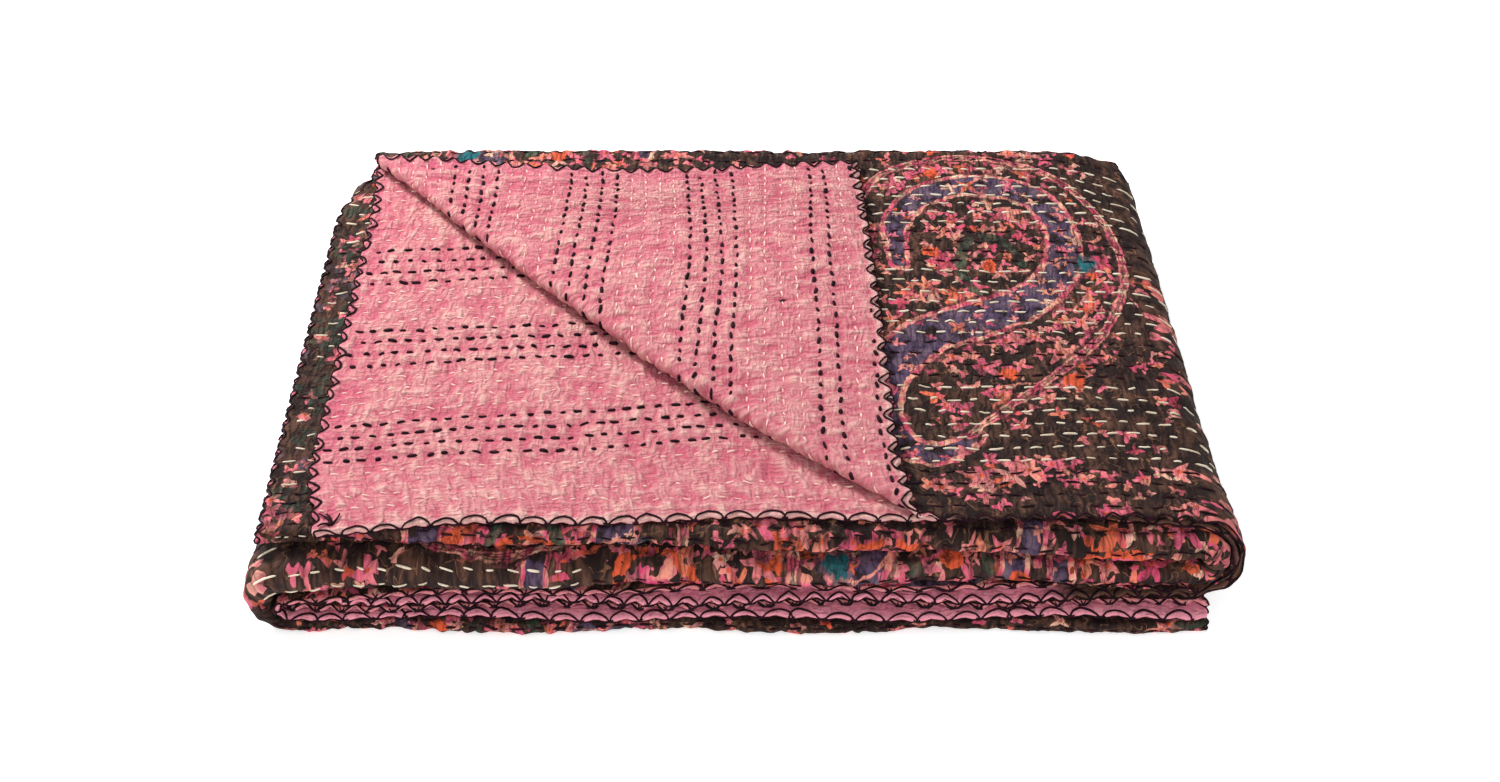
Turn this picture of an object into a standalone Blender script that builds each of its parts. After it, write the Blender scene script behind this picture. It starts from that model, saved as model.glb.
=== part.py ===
# Kantha quilt, folded and lying on a table: one sheet of stitched cloth, folded in four from front
# to back and then in three from side to side, with the top layer's front left corner turned back.
#
# u runs along the quilt's length, from the raw end on top of the pile to the raw end under it.
# v runs along its width, from the top layer's raw front edge, over the back and round to the raw
# front edge of the layer below. A depth of 0, 1, 2 or 3 names a quarter by its place in the pile
# of four, counted down from the top layer. All sizes are in metres, +Z is up, -Y is the front.
from math import cos, hypot, pi, sin

import bmesh
import bpy
from mathutils import Matrix, Vector

# The cloth
CLOTH_THICKNESS = 0.0050
LAYER_PITCH = 0.0100
CLOTH_COLOUR = (0.060, 0.030, 0.026, 1.0)
CLOTH_ROUGHNESS = 0.9

# Where the folds lie, seen from above
RIGHT_ROLL_X = 0.420
LEFT_ROLL_X = -0.452
LOWER_RAW_END_X = 0.432
BACK_ROLL_Y = 0.352
RIGHT_FLARE = 0.020
BACK_CORNER_ROUNDING = 0.024
BACK_CORNER_WIDTH = 0.110
PILE_HALF_LENGTH = 0.47
PILE_DEPTH = 0.60

# Raw upper end of each quarter, at the left: x along most of it, x at the back and x at the front
UPPER_RAW_END = {
    0: {"along": -0.442, "back": -0.448, "front": -0.424},
    1: {"along": -0.441, "back": -0.446, "front": -0.422},
    2: {"along": -0.482, "back": -0.452, "front": -0.478},
    3: {"along": -0.486, "back": -0.456, "front": -0.482},
}
END_CURVE_SHARE = 0.16

# Front of each layer, from the top of the pile down: how far forward it reaches (y) and how high
# its middle lies (z) at the left, in the middle and at the right. Depths 2 and 3 of a third are
# joined by a loose round fold, and their y is where its round starts.
FRONT = {
    ("upper", 0): {"y": (-0.244, -0.232, -0.240), "z": (0.1165, 0.1172, 0.1180)},
    ("upper", 1): {"y": (-0.246, -0.229, -0.236), "z": (0.1100, 0.1104, 0.1112)},
    ("upper", 2): {"y": (-0.236, -0.236, -0.243), "z": (0.1040, 0.1042, 0.1048)},
    ("upper", 3): {"y": (-0.236, -0.236, -0.243), "z": (0.0915, 0.0850, 0.0770)},
    ("middle", 3): {"y": (-0.258, -0.251, -0.250), "z": (0.0850, 0.0782, 0.0705)},
    ("middle", 2): {"y": (-0.258, -0.251, -0.250), "z": (0.0505, 0.0505, 0.0495)},
    ("middle", 1): {"y": (-0.275, -0.262, -0.262), "z": (0.0430, 0.0432, 0.0425)},
    ("middle", 0): {"y": (-0.272, -0.272, -0.266), "z": (0.0350, 0.0350, 0.0345)},
    ("lower", 0): {"y": (-0.274, -0.270, -0.268), "z": (0.0268, 0.0268, 0.0265)},
    ("lower", 1): {"y": (-0.278, -0.279, -0.277), "z": (0.0188, 0.0188, 0.0185)},
    ("lower", 2): {"y": (-0.276, -0.276, -0.275), "z": (0.0112, 0.0112, 0.0112)},
    ("lower", 3): {"y": (-0.276, -0.276, -0.275), "z": (0.0025, 0.0025, 0.0025)},
}
LEVEL_FROM_BOTTOM = {
    "upper": {0: 11, 1: 10, 2: 9, 3: 8},
    "middle": {3: 7, 2: 6, 1: 5, 0: 4},
    "lower": {0: 3, 1: 2, 2: 1, 3: 0},
}
LOOSE_FRONT_Y = -0.236
LOOSE_DEPTH = 0.085
WAVER = 0.0030
WAVER_LENGTH = 0.290
WAVER_SHIFT = 1.7

# The corner turned back along a diagonal from the back left corner to the front edge
TURN_END_U = 0.600
TURN_ROLL_RADIUS = 0.0060
TURN_ROLL_CELLS = 6
TURN_SWELL = 0.35
TURN_BOW = 0.018
TURN_BOW_FADE = 0.16
TURN_EDGE_DRAW_IN = 0.030
TURN_CORNER_DRAW_IN = 0.026
TURN_EDGE_FADE = 0.16

# Quilting and unevenness
ROW_PITCH = 0.0170
ROW_RELIEF = 0.0007
SAG_AT_SIDES = 0.030
SAG_AT_BACK = 0.020
SWELL = 0.012
SWELL_LENGTH_X = 0.70
SWELL_LENGTH_Y = 0.78
PRESSED_FLAT_BELOW = 0.0002

# Cells of the sheet
ROLL_CELLS = {"right roll": 7, "left roll": 6, "outer roll": 6, "front roll": 6, "inner roll": 4}
THIRD_CUTS = {
    "upper": (3 / 11, 6 / 11, 9 / 11, 10 / 11),
    "middle": (0.08, 0.18, 0.50, 0.90),
    "lower": (0.10, 0.50, 0.82, 0.92),
}
QUARTER_CUTS = (0.03, 0.08, 0.15, 0.55)
QUILTED_COLUMNS = 11
DIAGONAL_MARGIN = 0.08


def lerp(start, end, share):
    return start + (end - start) * share


def ease(share):
    share = min(max(share, 0.0), 1.0)
    return share * share * (3.0 - 2.0 * share)


def through_three(values, x):
    """A gentle curve in x through a left, a middle and a right value."""
    left, middle, right = values
    t = min(max(x / RIGHT_ROLL_X, -1.1), 1.1)
    return middle + (right - left) / 2 * t + ((left + right) / 2 - middle) * t * t


def height(third, depth, loose, x):
    """Height of a layer's middle; depth may lie between two layers, as it does in a roll."""
    low = min(int(depth), 2)
    levels = []
    for quarter in (low, low + 1):
        packed = CLOTH_THICKNESS / 2 + LAYER_PITCH * LEVEL_FROM_BOTTOM[third][quarter]
        levels.append(lerp(packed, through_three(FRONT[third, quarter]["z"], x), loose))
    return lerp(levels[0], levels[1], depth - low)


def sections_along_u():
    roll = 2 * LAYER_PITCH * pi
    return [
        ("upper", RIGHT_ROLL_X - UPPER_RAW_END[0]["along"]),
        ("right roll", roll),
        ("middle", RIGHT_ROLL_X - LEFT_ROLL_X),
        ("left roll", roll),
        ("lower", LOWER_RAW_END_X - LEFT_ROLL_X),
    ]


def sections_along_v():
    """Name, length and the depths at which each section starts and ends."""
    front = FRONT["upper", 0]["y"][1]
    fold = FRONT["upper", 2]["y"][1]
    return [
        ("top", BACK_ROLL_Y - front, 0, 0),
        ("outer roll", 1.5 * LAYER_PITCH * pi, 0, 3),
        ("fourth", BACK_ROLL_Y - fold, 3, 3),
        ("front roll", LAYER_PITCH * pi, 3, 2),
        ("third", BACK_ROLL_Y - fold, 2, 2),
        ("inner roll", 0.5 * LAYER_PITCH * pi, 2, 1),
        ("facing", BACK_ROLL_Y - front, 1, 1),
    ]


def locate(sections, distance):
    """The section that a distance along the sheet lies in, and the share of it that is passed."""
    start = 0.0
    for section in sections:
        if distance <= start + section[1] or section is sections[-1]:
            return section, min(max((distance - start) / section[1], 0.0), 1.0)
        start += section[1]


def section_start(sections, name):
    start = 0.0
    for section in sections:
        if section[0] == name:
            return start
        start += section[1]


def across(v, third_share, x):
    """Depth in the pile, y and looseness at v; third_share weighs the thirds at this u."""
    section, share = locate(ALONG_V, v)
    name, _, depth_start, depth_end = section

    def front_line(depth):
        line = WAVER * sin(2 * pi * x / WAVER_LENGTH + WAVER_SHIFT * min(depth, 2))
        return line + sum(weight * through_three(FRONT[third, depth]["y"], x)
                          for third, weight in third_share.items())

    def looseness(y):
        return 1.0 - ease((y - LOOSE_FRONT_Y) / LOOSE_DEPTH)

    def half_height(loose):
        total = 0.0
        for third, weight in third_share.items():
            drop = height(third, depth_start, loose, x) - height(third, depth_end, loose, x)
            total += weight * abs(drop)
        return total / 2

    if name == "front roll":
        angle = pi * share
        depth = 2.5 + 0.5 * cos(angle)
        loose = looseness(front_line(2))
        return depth, front_line(2) - half_height(loose) * sin(angle), loose
    if name in ("outer roll", "inner roll"):
        angle = pi * share
        middle = (depth_start + depth_end) / 2
        depth = middle + (depth_start - middle) * cos(angle)
        return depth, BACK_ROLL_Y + half_height(0.0) * sin(angle), 0.0
    from_front = share if name in ("top", "third") else 1.0 - share
    y = lerp(front_line(depth_start), BACK_ROLL_Y, from_front)
    return depth_start, y, looseness(y)


def raw_end_x(depth, v):
    """x of the raw upper end, blended round the rolls between one quarter and the next."""
    section, share = locate(ALONG_V, v)
    name = section[0]

    def along(quarter, from_front):
        row = UPPER_RAW_END[quarter]
        x = lerp(row["front"], row["along"], ease(from_front / END_CURVE_SHARE))
        return lerp(x, row["back"], ease(1.0 - (1.0 - from_front) / END_CURVE_SHARE))

    if name == "front roll":
        return lerp(along(3, 0.0), along(2, 0.0), share)
    if name in ("outer roll", "inner roll"):
        return lerp(along(section[2], 1.0), along(section[3], 1.0), share)
    from_front = share if name in ("top", "third") else 1.0 - share
    return along(section[2], from_front)


def settle(x, y, z):
    """The pile's own unevenness: it flares at the front right, rounds off behind and sags."""
    x += RIGHT_FLARE * (BACK_ROLL_Y - y) / PILE_DEPTH * ease(x / PILE_HALF_LENGTH + 0.2)
    into_corner = ease((x - PILE_HALF_LENGTH) / BACK_CORNER_WIDTH + 1.0)
    y -= BACK_CORNER_ROUNDING * into_corner * ease(y / BACK_ROLL_Y)
    side = min(abs(x) / PILE_HALF_LENGTH, 1.0)
    back = ease(y / BACK_ROLL_Y)
    lift = 1.0 - SAG_AT_SIDES * side ** 4 - SAG_AT_BACK * back ** 2
    lift += SWELL * sin(2 * pi * x / SWELL_LENGTH_X + 1.1) * cos(2 * pi * y / SWELL_LENGTH_Y - 0.6)
    return Vector((x, y, CLOTH_THICKNESS / 2 + (z - CLOTH_THICKNESS / 2) * lift))


def place(u, v, lift):
    """Where the cloth's middle lies; lift raises it from its own layer."""
    section, share = locate(ALONG_U, u)
    name = section[0]
    if name == "upper":
        x = lerp(UPPER_RAW_END[0]["along"], RIGHT_ROLL_X, share)
        thirds = {"upper": 1.0}
    elif name == "right roll":
        x = RIGHT_ROLL_X
        thirds = {"upper": 1.0 - share, "middle": share}
    elif name == "middle":
        x = lerp(RIGHT_ROLL_X, LEFT_ROLL_X, share)
        thirds = {"middle": 1.0}
    elif name == "left roll":
        x = LEFT_ROLL_X
        thirds = {"middle": 1.0 - share, "lower": share}
    else:
        x = lerp(LEFT_ROLL_X, LOWER_RAW_END_X, share)
        thirds = {"lower": 1.0}

    depth, y, loose = across(v, thirds, x)
    if len(thirds) == 1:
        if name == "upper":
            x = lerp(raw_end_x(depth, v), RIGHT_ROLL_X, share)
        z = height(name, depth, loose, x)
    else:
        above, below = [height(third, depth, loose, x) for third in thirds]
        angle = pi * share
        z = (above + below) / 2 + (above - below) / 2 * cos(angle)
        outwards = 1.0 if name == "right roll" else -1.0
        x += outwards * (above - below) / 2 * sin(angle)
    return settle(x, y, z + lift)


def from_diagonal(u, v):
    """Distance along the diagonal of the turned corner and distance beyond it, in the flat cloth."""
    far = Vector((0.0, TOP_LENGTH))
    line = (Vector((TURN_END_U, 0.0)) - far).normalized()
    offset = Vector((u, v)) - far
    return offset.dot(line), offset.dot(Vector((line.y, -line.x))), line, far


def turn_back(u, v):
    """Fold the top layer's corner over the diagonal: where it comes to lie, and how much higher."""
    if v < TOP_LENGTH:
        draw_in = TURN_EDGE_DRAW_IN * sin(pi * v / TOP_LENGTH) ** 2
        draw_in += TURN_CORNER_DRAW_IN * (1.0 - ease(1.5 * v / TOP_LENGTH))
        u += draw_in * (1.0 - ease(u / TURN_EDGE_FADE))
    along, beyond, line, far = from_diagonal(u, v)
    if v > TOP_LENGTH or beyond < -TURN_BOW_FADE:
        return u, v, 0.0
    hump = sin(pi * min(max(along / hypot(TURN_END_U, TOP_LENGTH), 0.0), 1.0))
    swell = 1.0 + TURN_SWELL * hump
    rolled = pi * TURN_ROLL_RADIUS
    if beyond < 0.0:
        offset, lift = beyond, 0.0
    elif beyond < rolled:
        offset = TURN_ROLL_RADIUS * swell * sin(beyond / TURN_ROLL_RADIUS)
        lift = TURN_ROLL_RADIUS * swell * (1.0 - cos(beyond / TURN_ROLL_RADIUS))
    else:
        offset = rolled - beyond
        high = 2.0 * TURN_ROLL_RADIUS * swell
        lift = lerp(high, 0.9 * LAYER_PITCH, ease((beyond - rolled) / TURN_BOW_FADE))
    offset += TURN_BOW * hump * (1.0 - ease(abs(offset) / TURN_BOW_FADE))
    folded = far + line * along + Vector((line.y, -line.x)) * offset
    return folded.x, folded.y, lift


def ripple(u, v):
    """The low ridges between the rows of quilting, on the two quarters whose quilting shows."""
    if u > UPPER_LENGTH or TOP_LENGTH < v < FACING_START:
        return 0.0
    from_row = v if v < TOP_LENGTH else v - FACING_START
    fade = ease((UPPER_LENGTH - u) / UPPER_LENGTH * QUILTED_COLUMNS)
    return fade * ROW_RELIEF * cos(2 * pi * from_row / ROW_PITCH)


def cut(sheet, point, normal, region):
    """Cut the faces whose centres lie in a region along one straight line of the flat cloth."""
    faces = [face for face in sheet.faces if region(*face.calc_center_median().xy)]
    edges = {edge for face in faces for edge in face.edges}
    verts = {vert for face in faces for vert in face.verts}
    bmesh.ops.bisect_plane(sheet, geom=[*verts, *edges, *faces], dist=1e-6,
                           plane_co=(*point, 0.0), plane_no=(*normal, 0.0))


def roll_shares(name):
    """Even cuts round a roll, as shares of its length."""
    cells = ROLL_CELLS.get(name, 1)
    return [step / cells for step in range(1, cells)]


def everywhere(u, v):
    return True


def on_top_quarter(u, v):
    return u < UPPER_LENGTH and v < TOP_LENGTH


def beside_diagonal(u, v):
    return on_top_quarter(u, v) and abs(from_diagonal(u, v)[1]) < DIAGONAL_MARGIN


def top_quilting_shows(u, v):
    return on_top_quarter(u, v) and (from_diagonal(u, v)[1] > 0.0 or u > TURN_END_U - DIAGONAL_MARGIN)


def facing_quilting_shows(u, v):
    from_front = WIDTH - v
    return v > FACING_START and u / TURN_END_U + from_front / TOP_LENGTH < 1.0 + DIAGONAL_MARGIN


def flat_sheet():
    """The quilt spread flat, cut into cells that are finest where it is rolled or shows."""
    sheet = bmesh.new()
    corners = [(0, 0), (LENGTH, 0), (LENGTH, WIDTH), (0, WIDTH)]
    sheet.faces.new([sheet.verts.new((u, v, 0.0)) for u, v in corners])

    start = 0.0
    for name, length in ALONG_U:
        for share in (0.0, *THIRD_CUTS.get(name, roll_shares(name))):
            cut(sheet, (start + length * share, 0), (1, 0), everywhere)
        start += length

    start = 0.0
    for name, length, *_ in ALONG_V:
        shares = roll_shares(name)
        if name in ("top", "third"):
            shares = QUARTER_CUTS
        elif name in ("fourth", "facing"):
            shares = [1.0 - share for share in QUARTER_CUTS]
        for share in (0.0, *shares):
            cut(sheet, (0, start + length * share), (0, 1), everywhere)
        start += length

    for step in range(1, QUILTED_COLUMNS):
        column = UPPER_LENGTH * step / QUILTED_COLUMNS
        cut(sheet, (column, 0), (1, 0), on_top_quarter)
        cut(sheet, (column, 0), (1, 0), facing_quilting_shows)
    _, _, line, far = from_diagonal(0.0, 0.0)
    outward = Vector((line.y, -line.x))
    for step in range(TURN_ROLL_CELLS + 1):
        beyond = pi * TURN_ROLL_RADIUS * step / TURN_ROLL_CELLS
        cut(sheet, far + outward * beyond, outward, beside_diagonal)
    for step in range(1, int(TOP_LENGTH / ROW_PITCH * 2) + 1):
        cut(sheet, (0, ROW_PITCH / 2 * step), (0, 1), top_quilting_shows)
        cut(sheet, (0, FACING_START + ROW_PITCH / 2 * step), (0, 1), facing_quilting_shows)
    return sheet


def fold(sheet):
    """Bring the flat sheet's points to where the folded cloth's middle lies."""
    for vert in sheet.verts:
        u, v = vert.co.xy
        u_turned, v_turned, lift = turn_back(u, v)
        vert.co = place(u_turned, v_turned, lift + ripple(u, v))


def give_thickness(sheet):
    """A solid of the cloth's thickness round the folded sheet."""
    mesh = bpy.data.meshes.new("quilt middle")
    sheet.to_mesh(mesh)
    sheet.free()
    middle = bpy.data.objects.new("quilt middle", mesh)
    bpy.context.collection.objects.link(middle)
    solidify = middle.modifiers.new("Cloth thickness", "SOLIDIFY")
    solidify.thickness = CLOTH_THICKNESS
    solidify.offset = 0.0
    evaluated = middle.evaluated_get(bpy.context.evaluated_depsgraph_get())
    solid = bpy.data.meshes.new_from_object(evaluated)
    bpy.data.objects.remove(middle)
    return solid


def stand_on_origin(mesh):
    """Move a mesh so that the middle of its box's underside is the origin, and press that side flat."""
    lows = [min(vert.co[axis] for vert in mesh.vertices) for axis in range(3)]
    highs = [max(vert.co[axis] for vert in mesh.vertices) for axis in range(3)]
    mesh.transform(Matrix.Translation((-(lows[0] + highs[0]) / 2, -(lows[1] + highs[1]) / 2, -lows[2])))
    for vert in mesh.vertices:
        if vert.co.z < PRESSED_FLAT_BELOW:
            vert.co.z = 0.0


def cloth_material():
    material = bpy.data.materials.new("printed cotton")
    material.use_nodes = True
    shader = material.node_tree.nodes["Principled BSDF"]
    shader.inputs["Base Color"].default_value = CLOTH_COLOUR
    shader.inputs["Roughness"].default_value = CLOTH_ROUGHNESS
    shader.inputs["Metallic"].default_value = 0.0
    return material


def build_quilt():
    sheet = flat_sheet()
    fold(sheet)
    mesh = give_thickness(sheet)
    stand_on_origin(mesh)
    mesh.name = "quilt"
    mesh.materials.clear()
    mesh.materials.append(cloth_material())
    quilt = bpy.data.objects.new("quilt", mesh)
    bpy.context.collection.objects.link(quilt)


ALONG_U = sections_along_u()
ALONG_V = sections_along_v()
UPPER_LENGTH = ALONG_U[0][1]
TOP_LENGTH = ALONG_V[0][1]
LENGTH = sum(section[1] for section in ALONG_U)
WIDTH = sum(section[1] for section in ALONG_V)
FACING_START = section_start(ALONG_V, "facing")

for leftover in list(bpy.data.objects):
    bpy.data.objects.remove(leftover)
build_quilt()
print(f"flat size {LENGTH:.3f} by {WIDTH:.3f} m")
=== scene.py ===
from math import cos, hypot, pi, radians, sin

import bpy
import numpy as np
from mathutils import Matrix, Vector


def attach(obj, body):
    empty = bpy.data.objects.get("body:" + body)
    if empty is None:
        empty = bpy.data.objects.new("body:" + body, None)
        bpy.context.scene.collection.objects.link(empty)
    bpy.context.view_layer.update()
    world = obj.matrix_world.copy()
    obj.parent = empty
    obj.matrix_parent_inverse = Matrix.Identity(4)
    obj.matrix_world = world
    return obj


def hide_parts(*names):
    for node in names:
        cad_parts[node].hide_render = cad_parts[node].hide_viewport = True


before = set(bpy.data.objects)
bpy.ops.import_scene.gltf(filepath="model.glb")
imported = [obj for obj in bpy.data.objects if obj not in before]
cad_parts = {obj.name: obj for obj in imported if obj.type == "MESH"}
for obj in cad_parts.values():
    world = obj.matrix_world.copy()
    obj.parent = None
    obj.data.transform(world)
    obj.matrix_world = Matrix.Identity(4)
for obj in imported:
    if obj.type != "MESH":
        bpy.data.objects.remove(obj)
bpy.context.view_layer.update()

# One cloth in a flat state: u runs along its length from the raw end on top of the pile to the one
# under it, v along its width from the top layer's raw front edge, over the back, to the raw front
# edge of the layer below. Quarters 0 to 3 are counted down through the pile of four. Metres.
pile = {
    "thickness": 0.0050, "layerPitch": 0.0100,
    "rightRollX": 0.420, "leftRollX": -0.452, "lowerRawEndX": 0.432, "backRollY": 0.352,
    "rightFlare": 0.020, "backCornerRounding": 0.024, "backCornerWidth": 0.110,
    "halfLength": 0.47, "depth": 0.60,
    "endCurveShare": 0.16, "looseFrontY": -0.236, "looseDepth": 0.085,
    "waver": 0.0030, "waverLength": 0.290, "waverShift": 1.7,
    "sagAtSides": 0.030, "sagAtBack": 0.020,
    "swell": 0.012, "swellLengthX": 0.70, "swellLengthY": 0.78, "swellShiftX": 1.1, "swellShiftY": -0.6,
    "flareFrom": 0.2,
}
rawEndX = {  # x of each quarter's raw upper end: along most of it, at the back and at the front
    0: (-0.442, -0.448, -0.424), 1: (-0.441, -0.446, -0.422),
    2: (-0.482, -0.452, -0.478), 3: (-0.486, -0.456, -0.482),
}
frontOf = {  # how far forward each layer reaches, and how high its middle lies: left, middle, right
    ("upper", 0): ((-0.244, -0.232, -0.240), (0.1165, 0.1172, 0.1180)),
    ("upper", 1): ((-0.246, -0.229, -0.236), (0.1100, 0.1104, 0.1112)),
    ("upper", 2): ((-0.236, -0.236, -0.243), (0.1040, 0.1042, 0.1048)),
    ("upper", 3): ((-0.236, -0.236, -0.243), (0.0915, 0.0850, 0.0770)),
    ("middle", 3): ((-0.258, -0.251, -0.250), (0.0850, 0.0782, 0.0705)),
    ("middle", 2): ((-0.258, -0.251, -0.250), (0.0505, 0.0505, 0.0495)),
    ("middle", 1): ((-0.275, -0.262, -0.262), (0.0430, 0.0432, 0.0425)),
    ("middle", 0): ((-0.272, -0.272, -0.266), (0.0350, 0.0350, 0.0345)),
    ("lower", 0): ((-0.274, -0.270, -0.268), (0.0268, 0.0268, 0.0265)),
    ("lower", 1): ((-0.278, -0.279, -0.277), (0.0188, 0.0188, 0.0185)),
    ("lower", 2): ((-0.276, -0.276, -0.275), (0.0112, 0.0112, 0.0112)),
    ("lower", 3): ((-0.276, -0.276, -0.275), (0.0025, 0.0025, 0.0025)),
}
levelOf = {"upper": (11, 10, 9, 8), "middle": (4, 5, 6, 7), "lower": (3, 2, 1, 0)}
rolls = {"right roll": ("upper", "middle", 1.0), "left roll": ("middle", "lower", -1.0)}  # +1 bulges right
turnedCorner = {
    "endU": 0.600, "rollRadius": 0.0060, "swell": 0.35, "bow": 0.018, "bowFade": 0.16, "landedAt": 0.9,
    "edgeDrawIn": 0.030, "edgeFade": 0.16, "cornerDrawIn": 0.026, "cornerFade": 1.5,
}


def lerp(start, end, share):
    return start + (end - start) * share


def ease(share):
    share = np.clip(share, 0.0, 1.0)
    return share * share * (3.0 - 2.0 * share)


def throughThree(values, x):
    # a curve through the left, middle and right values, which runs on a little past the rolls
    left, middle, right = values
    t = np.clip(x / pile["rightRollX"], -1.1, 1.1)
    return middle + (right - left) / 2 * t + ((left + right) / 2 - middle) * t * t


def runOn(sections):
    # gives each section its start along the cloth
    placed, start = [], 0.0
    for section in sections:
        placed.append((section[0], start, *section[1:]))
        start += section[1]
    return placed, start


rollRound = pi * pile["layerPitch"]
topDepth = pile["backRollY"] - frontOf["upper", 0][0][1]
foldDepth = pile["backRollY"] - frontOf["upper", 2][0][1]
alongU, clothLength = runOn([
    ("upper", pile["rightRollX"] - rawEndX[0][0]),
    ("right roll", 2 * rollRound),
    ("middle", pile["rightRollX"] - pile["leftRollX"]),
    ("left roll", 2 * rollRound),
    ("lower", pile["lowerRawEndX"] - pile["leftRollX"]),
])
alongV, clothWidth = runOn([  # each with the quarters that it starts and ends in
    ("top", topDepth, 0, 0),
    ("outer roll", 1.5 * rollRound, 0, 3),
    ("fourth", foldDepth, 3, 3),
    ("front roll", rollRound, 3, 2),
    ("third", foldDepth, 2, 2),
    ("inner roll", 0.5 * rollRound, 2, 1),
    ("facing", topDepth, 1, 1),
])
startOfV = {name: start for name, start, *_ in alongV}
startOfU = {name: start for name, start, *_ in alongU}
upperLength = startOfU["right roll"]
topLength = startOfV["outer roll"]
foldMiddle = startOfV["front roll"] + rollRound / 2


def layerHeight(third, quarter, loose, x):
    # a quarter may lie between two whole ones, as it does in a roll
    heights = []
    for whole in range(4):
        packed = pile["thickness"] / 2 + pile["layerPitch"] * levelOf[third][whole]
        heights.append(lerp(packed, throughThree(frontOf[third, whole][1], x), loose))
    quarter = quarter + 0.0 * x
    low = np.minimum(quarter.astype(int), 2)
    heights, each = np.stack([h + 0.0 * x for h in heights]), np.arange(len(x))
    return lerp(heights[low, each], heights[low + 1, each], quarter - low)


def acrossPile(section, share, thirds, x):
    # quarter, y and looseness of points that share a section along v
    name, _, _, first, last = section

    def frontLine(quarter):
        shift = pile["waverShift"] * min(quarter, 2)
        line = pile["waver"] * np.sin(2 * pi * x / pile["waverLength"] + shift)
        return line + sum(weight * throughThree(frontOf[third, quarter][0], x)
                          for third, weight in thirds.items())

    def looseness(y):
        return 1.0 - ease((y - pile["looseFrontY"]) / pile["looseDepth"])

    def halfHeight(loose):
        return sum(
            weight * abs(layerHeight(third, first, loose, x) - layerHeight(third, last, loose, x))
            for third, weight in thirds.items()) / 2

    angle = pi * share
    if name == "front roll":
        loose = looseness(frontLine(2))
        return 2.5 + 0.5 * np.cos(angle), frontLine(2) - halfHeight(loose) * np.sin(angle), loose
    if name in ("outer roll", "inner roll"):
        middle = (first + last) / 2
        quarter = middle + (first - middle) * np.cos(angle)
        return quarter, pile["backRollY"] + halfHeight(0.0 * x) * np.sin(angle), 0.0 * x
    fromFront = share if name in ("top", "third") else 1.0 - share
    y = lerp(frontLine(first), pile["backRollY"], fromFront)
    return first + 0.0 * x, y, looseness(y)


def rawEndAt(section, share):
    name, _, _, first, last = section

    def along(quarter, fromFront):
        most, back, front = rawEndX[quarter]
        x = lerp(front, most, ease(fromFront / pile["endCurveShare"]))
        return lerp(x, back, ease(1.0 - (1.0 - fromFront) / pile["endCurveShare"]))

    if name == "front roll":
        return lerp(along(3, 0.0), along(2, 0.0), share)
    if name in ("outer roll", "inner roll"):
        return lerp(along(first, 1.0), along(last, 1.0), share)
    return along(first, share if name in ("top", "third") else 1.0 - share)


def settled(x, y, z):
    # the pile flares at the front right, rounds off behind and sags
    p = pile
    flaring = ease(x / p["halfLength"] + p["flareFrom"])
    x = x + p["rightFlare"] * (p["backRollY"] - y) / p["depth"] * flaring
    intoCorner = ease((x - p["halfLength"]) / p["backCornerWidth"] + 1.0)
    y = y - p["backCornerRounding"] * intoCorner * ease(y / p["backRollY"])
    side = np.minimum(abs(x) / p["halfLength"], 1.0)
    lift = 1.0 - p["sagAtSides"] * side ** 4 - p["sagAtBack"] * ease(y / p["backRollY"]) ** 2
    swellX = np.sin(2 * pi * x / p["swellLengthX"] + p["swellShiftX"])
    swellY = np.cos(2 * pi * y / p["swellLengthY"] + p["swellShiftY"])
    lift += p["swell"] * swellX * swellY
    half = p["thickness"] / 2
    return np.stack([x, y, half + (z - half) * lift], axis=1)


def folded(u, v, lift):
    # where the cloth's middle lies
    rightX, leftX = pile["rightRollX"], pile["leftRollX"]
    runs = {
        "upper": (rawEndX[0][0], rightX), "middle": (rightX, leftX), "lower": (leftX, pile["lowerRawEndX"]),
        "right roll": (rightX, rightX), "left roll": (leftX, leftX),
    }
    u, v = np.clip(u, 0.0, clothLength), np.clip(v, 0.0, clothWidth)
    points = np.zeros((len(u), 3))
    for name, startU, spanU in alongU:
        inU = (u >= startU) & (u <= startU + spanU)
        for section in alongV:
            here = np.flatnonzero(inU & (v >= section[1]) & (v <= section[1] + section[2]))
            if not len(here):
                continue
            shareU, shareV = (u[here] - startU) / spanU, (v[here] - section[1]) / section[2]
            x = lerp(*runs[name], shareU)
            if name in rolls:
                above, below, outwards = rolls[name]
                quarter, y, loose = acrossPile(section, shareV, {above: 1.0 - shareU, below: shareU}, x)
                high, low = [layerHeight(third, quarter, loose, x) for third in (above, below)]
                z = (high + low) / 2 + (high - low) / 2 * np.cos(pi * shareU)
                x = x + outwards * (high - low) / 2 * np.sin(pi * shareU)
            else:
                quarter, y, loose = acrossPile(section, shareV, {name: 1.0}, x)
                if name == "upper":
                    x = lerp(rawEndAt(section, shareV), rightX, shareU)
                z = layerHeight(name, quarter, loose, x)
            points[here] = settled(x, y, z + lift[here])
    return points


diagonalFar = Vector((0.0, topLength))
diagonalRun = (Vector((turnedCorner["endU"], 0.0)) - diagonalFar).normalized()
diagonalOut = Vector((diagonalRun.y, -diagonalRun.x))
diagonalLength = hypot(turnedCorner["endU"], topLength)


def fromDiagonal(u, v):
    # distance along the turned corner's diagonal and beyond it
    du, dv = u - diagonalFar.x, v - diagonalFar.y
    return du * diagonalRun.x + dv * diagonalRun.y, du * diagonalOut.x + dv * diagonalOut.y


def atDiagonal(along, beyond):
    return (diagonalFar.x + diagonalRun.x * along + diagonalOut.x * beyond,
            diagonalFar.y + diagonalRun.y * along + diagonalOut.y * beyond)


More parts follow.
